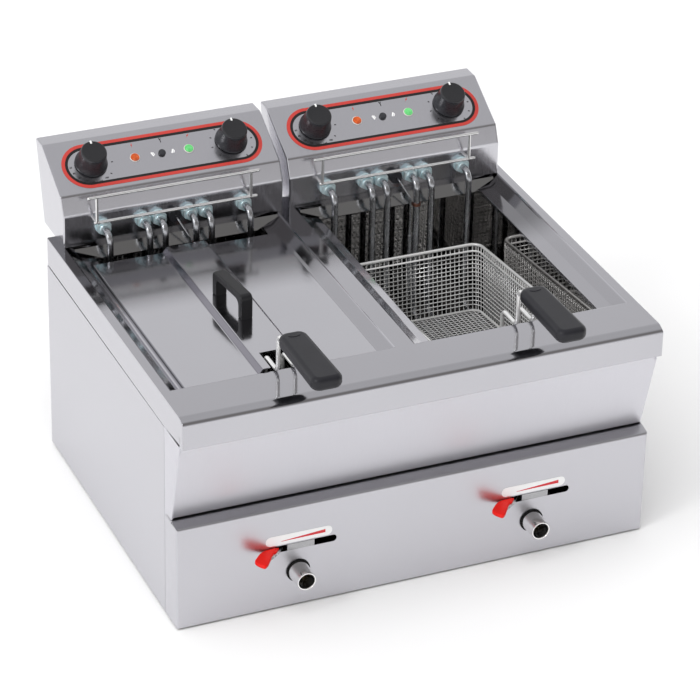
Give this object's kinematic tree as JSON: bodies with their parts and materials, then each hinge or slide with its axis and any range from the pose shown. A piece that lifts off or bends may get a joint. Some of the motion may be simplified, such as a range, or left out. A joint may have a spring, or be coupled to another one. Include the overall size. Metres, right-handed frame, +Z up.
{
  "type": "deep fryer",
  "caption": "Countertop electric twin deep fryer with lift-off control heads, immersion elements, wire baskets, a lid and front drain taps.",
  "frame": {"origin": "on the table, under the middle of the overall footprint", "axes": "+Z up, -Y towards the person at the taps and basket grips, +X to that person's right"},
  "size_m": [0.6, 0.5966, 0.4065],
  "materials": {
    "stainless": "satin",
    "element_steel": "satin",
    "bright_wire": "polished",
    "zinc": "satin",
    "valve_brass": "satin",
    "black_plastic": "satin",
    "red_vinyl": "gloss",
    "amber_lens": "gloss",
    "green_lens": "gloss",
    "rubber": "matte"
  },
  "bodies": {
    "chassis": {"deck": "stainless", "left_side_panel": "stainless", "right_side_panel": "stainless", "upper_front_panel": "stainless", "lower_front_panel": "stainless", "rear_panel": "stainless", "base_pan": "stainless", "left_tank": "stainless", "right_tank": "stainless", "drain_pipes": "stainless", "valve_bodies": "valve_brass", "drain_nozzles": "zinc", "nozzle_gaskets": "rubber", "rubber_feet": "rubber"},
    "left_head": {"left_head_shell": "stainless", "left_head_cover": "stainless", "left_splash_shield": "stainless", "left_heating_elements": "element_steel", "left_element_nuts": "zinc", "left_temperature_probe": "element_steel", "left_glands": "black_plastic", "left_basket_rail": "bright_wire", "left_thermostats": "black_plastic", "left_timer": "black_plastic", "left_heating_lamp": "amber_lens", "left_mains_lamp": "green_lens"},
    "left_thermostat_dial": {"left_thermostat_knob": "black_plastic"},
    "left_timer_dial": {"left_timer_knob": "black_plastic"},
    "left_reset": {"left_reset_button": "black_plastic"},
    "left_valve": {"left_valve_ball": "element_steel", "left_drain_lever": "stainless", "left_lever_paddle": "red_vinyl"},
    "left_basket": {"left_basket_mesh": "bright_wire", "left_basket_corners": "bright_wire", "left_basket_frame": "bright_wire", "left_basket_grip": "black_plastic"},
    "right_head": {"right_head_shell": "stainless", "right_head_cover": "stainless", "right_splash_shield": "stainless", "right_heating_elements": "element_steel", "right_element_nuts": "zinc", "right_temperature_probe": "element_steel", "right_glands": "black_plastic", "right_basket_rail": "bright_wire", "right_thermostats": "black_plastic", "right_timer": "black_plastic", "right_heating_lamp": "amber_lens", "right_mains_lamp": "green_lens"},
    "right_thermostat_dial": {"right_thermostat_knob": "black_plastic"},
    "right_timer_dial": {"right_timer_knob": "black_plastic"},
    "right_reset": {"right_reset_button": "black_plastic"},
    "right_valve": {"right_valve_ball": "element_steel", "right_drain_lever": "stainless", "right_lever_paddle": "red_vinyl"},
    "right_basket": {"right_basket_mesh": "bright_wire", "right_basket_corners": "bright_wire", "right_basket_frame": "bright_wire", "right_basket_grip": "black_plastic"},
    "left_lid": {"left_lid": "stainless", "left_lid_handle": "black_plastic"}
  },
  "joints": [
    {"name": "left_head_lift", "type": "slide", "parent": "chassis", "child": "left_head", "axis": [0, 0, 1], "range_m": [0, 0.25]},
    {"name": "left_basket_lift", "type": "slide", "parent": "left_head", "child": "left_basket", "axis": [0, 0, 1], "range_m": [0, 0.2]},
    {"name": "left_thermostat_turn", "type": "hinge", "parent": "left_head", "child": "left_thermostat_dial", "pos_m": [-0.238, 0.24373, 0.37625], "axis": [0, 0.5, -0.866], "range_deg": [0, 270]},
    {"name": "left_timer_turn", "type": "hinge", "parent": "left_head", "child": "left_timer_dial", "pos_m": [-0.056, 0.24373, 0.37625], "axis": [0, 0.5, -0.866], "range_deg": [0, 300]},
    {"name": "left_reset_press", "type": "slide", "parent": "left_head", "child": "left_reset", "axis": [0, 0.5, -0.866], "range_m": [0, 0.0015], "stiffness_N_per_m": 300, "springref_m": -0.001},
    {"name": "left_valve_turn", "type": "hinge", "parent": "chassis", "child": "left_valve", "pos_m": [-0.15, -0.18634, 0.083], "axis": [0, 0, 1], "range_deg": [0, 90]},
    {"name": "right_head_lift", "type": "slide", "parent": "chassis", "child": "right_head", "axis": [0, 0, 1], "range_m": [0, 0.25]},
    {"name": "right_basket_lift", "type": "slide", "parent": "right_head", "child": "right_basket", "axis": [0, 0, 1], "range_m": [0, 0.2]},
    {"name": "right_thermostat_turn", "type": "hinge", "parent": "right_head", "child": "right_thermostat_dial", "pos_m": [0.056, 0.24373, 0.37625], "axis": [0, 0.5, -0.866], "range_deg": [0, 270]},
    {"name": "right_timer_turn", "type": "hinge", "parent": "right_head", "child": "right_timer_dial", "pos_m": [0.238, 0.24373, 0.37625], "axis": [0, 0.5, -0.866], "range_deg": [0, 300]},
    {"name": "right_reset_press", "type": "slide", "parent": "right_head", "child": "right_reset", "axis": [0, 0.5, -0.866], "range_m": [0, 0.0015], "stiffness_N_per_m": 300, "springref_m": -0.001},
    {"name": "right_valve_turn", "type": "hinge", "parent": "chassis", "child": "right_valve", "pos_m": [0.15, -0.18634, 0.083], "axis": [0, 0, 1], "range_deg": [0, 90]},
    {"name": "left_lid_lift", "type": "slide", "parent": "left_basket", "child": "left_lid", "axis": [0, 0, 1], "range_m": [0, 0.15]}
  ]
}
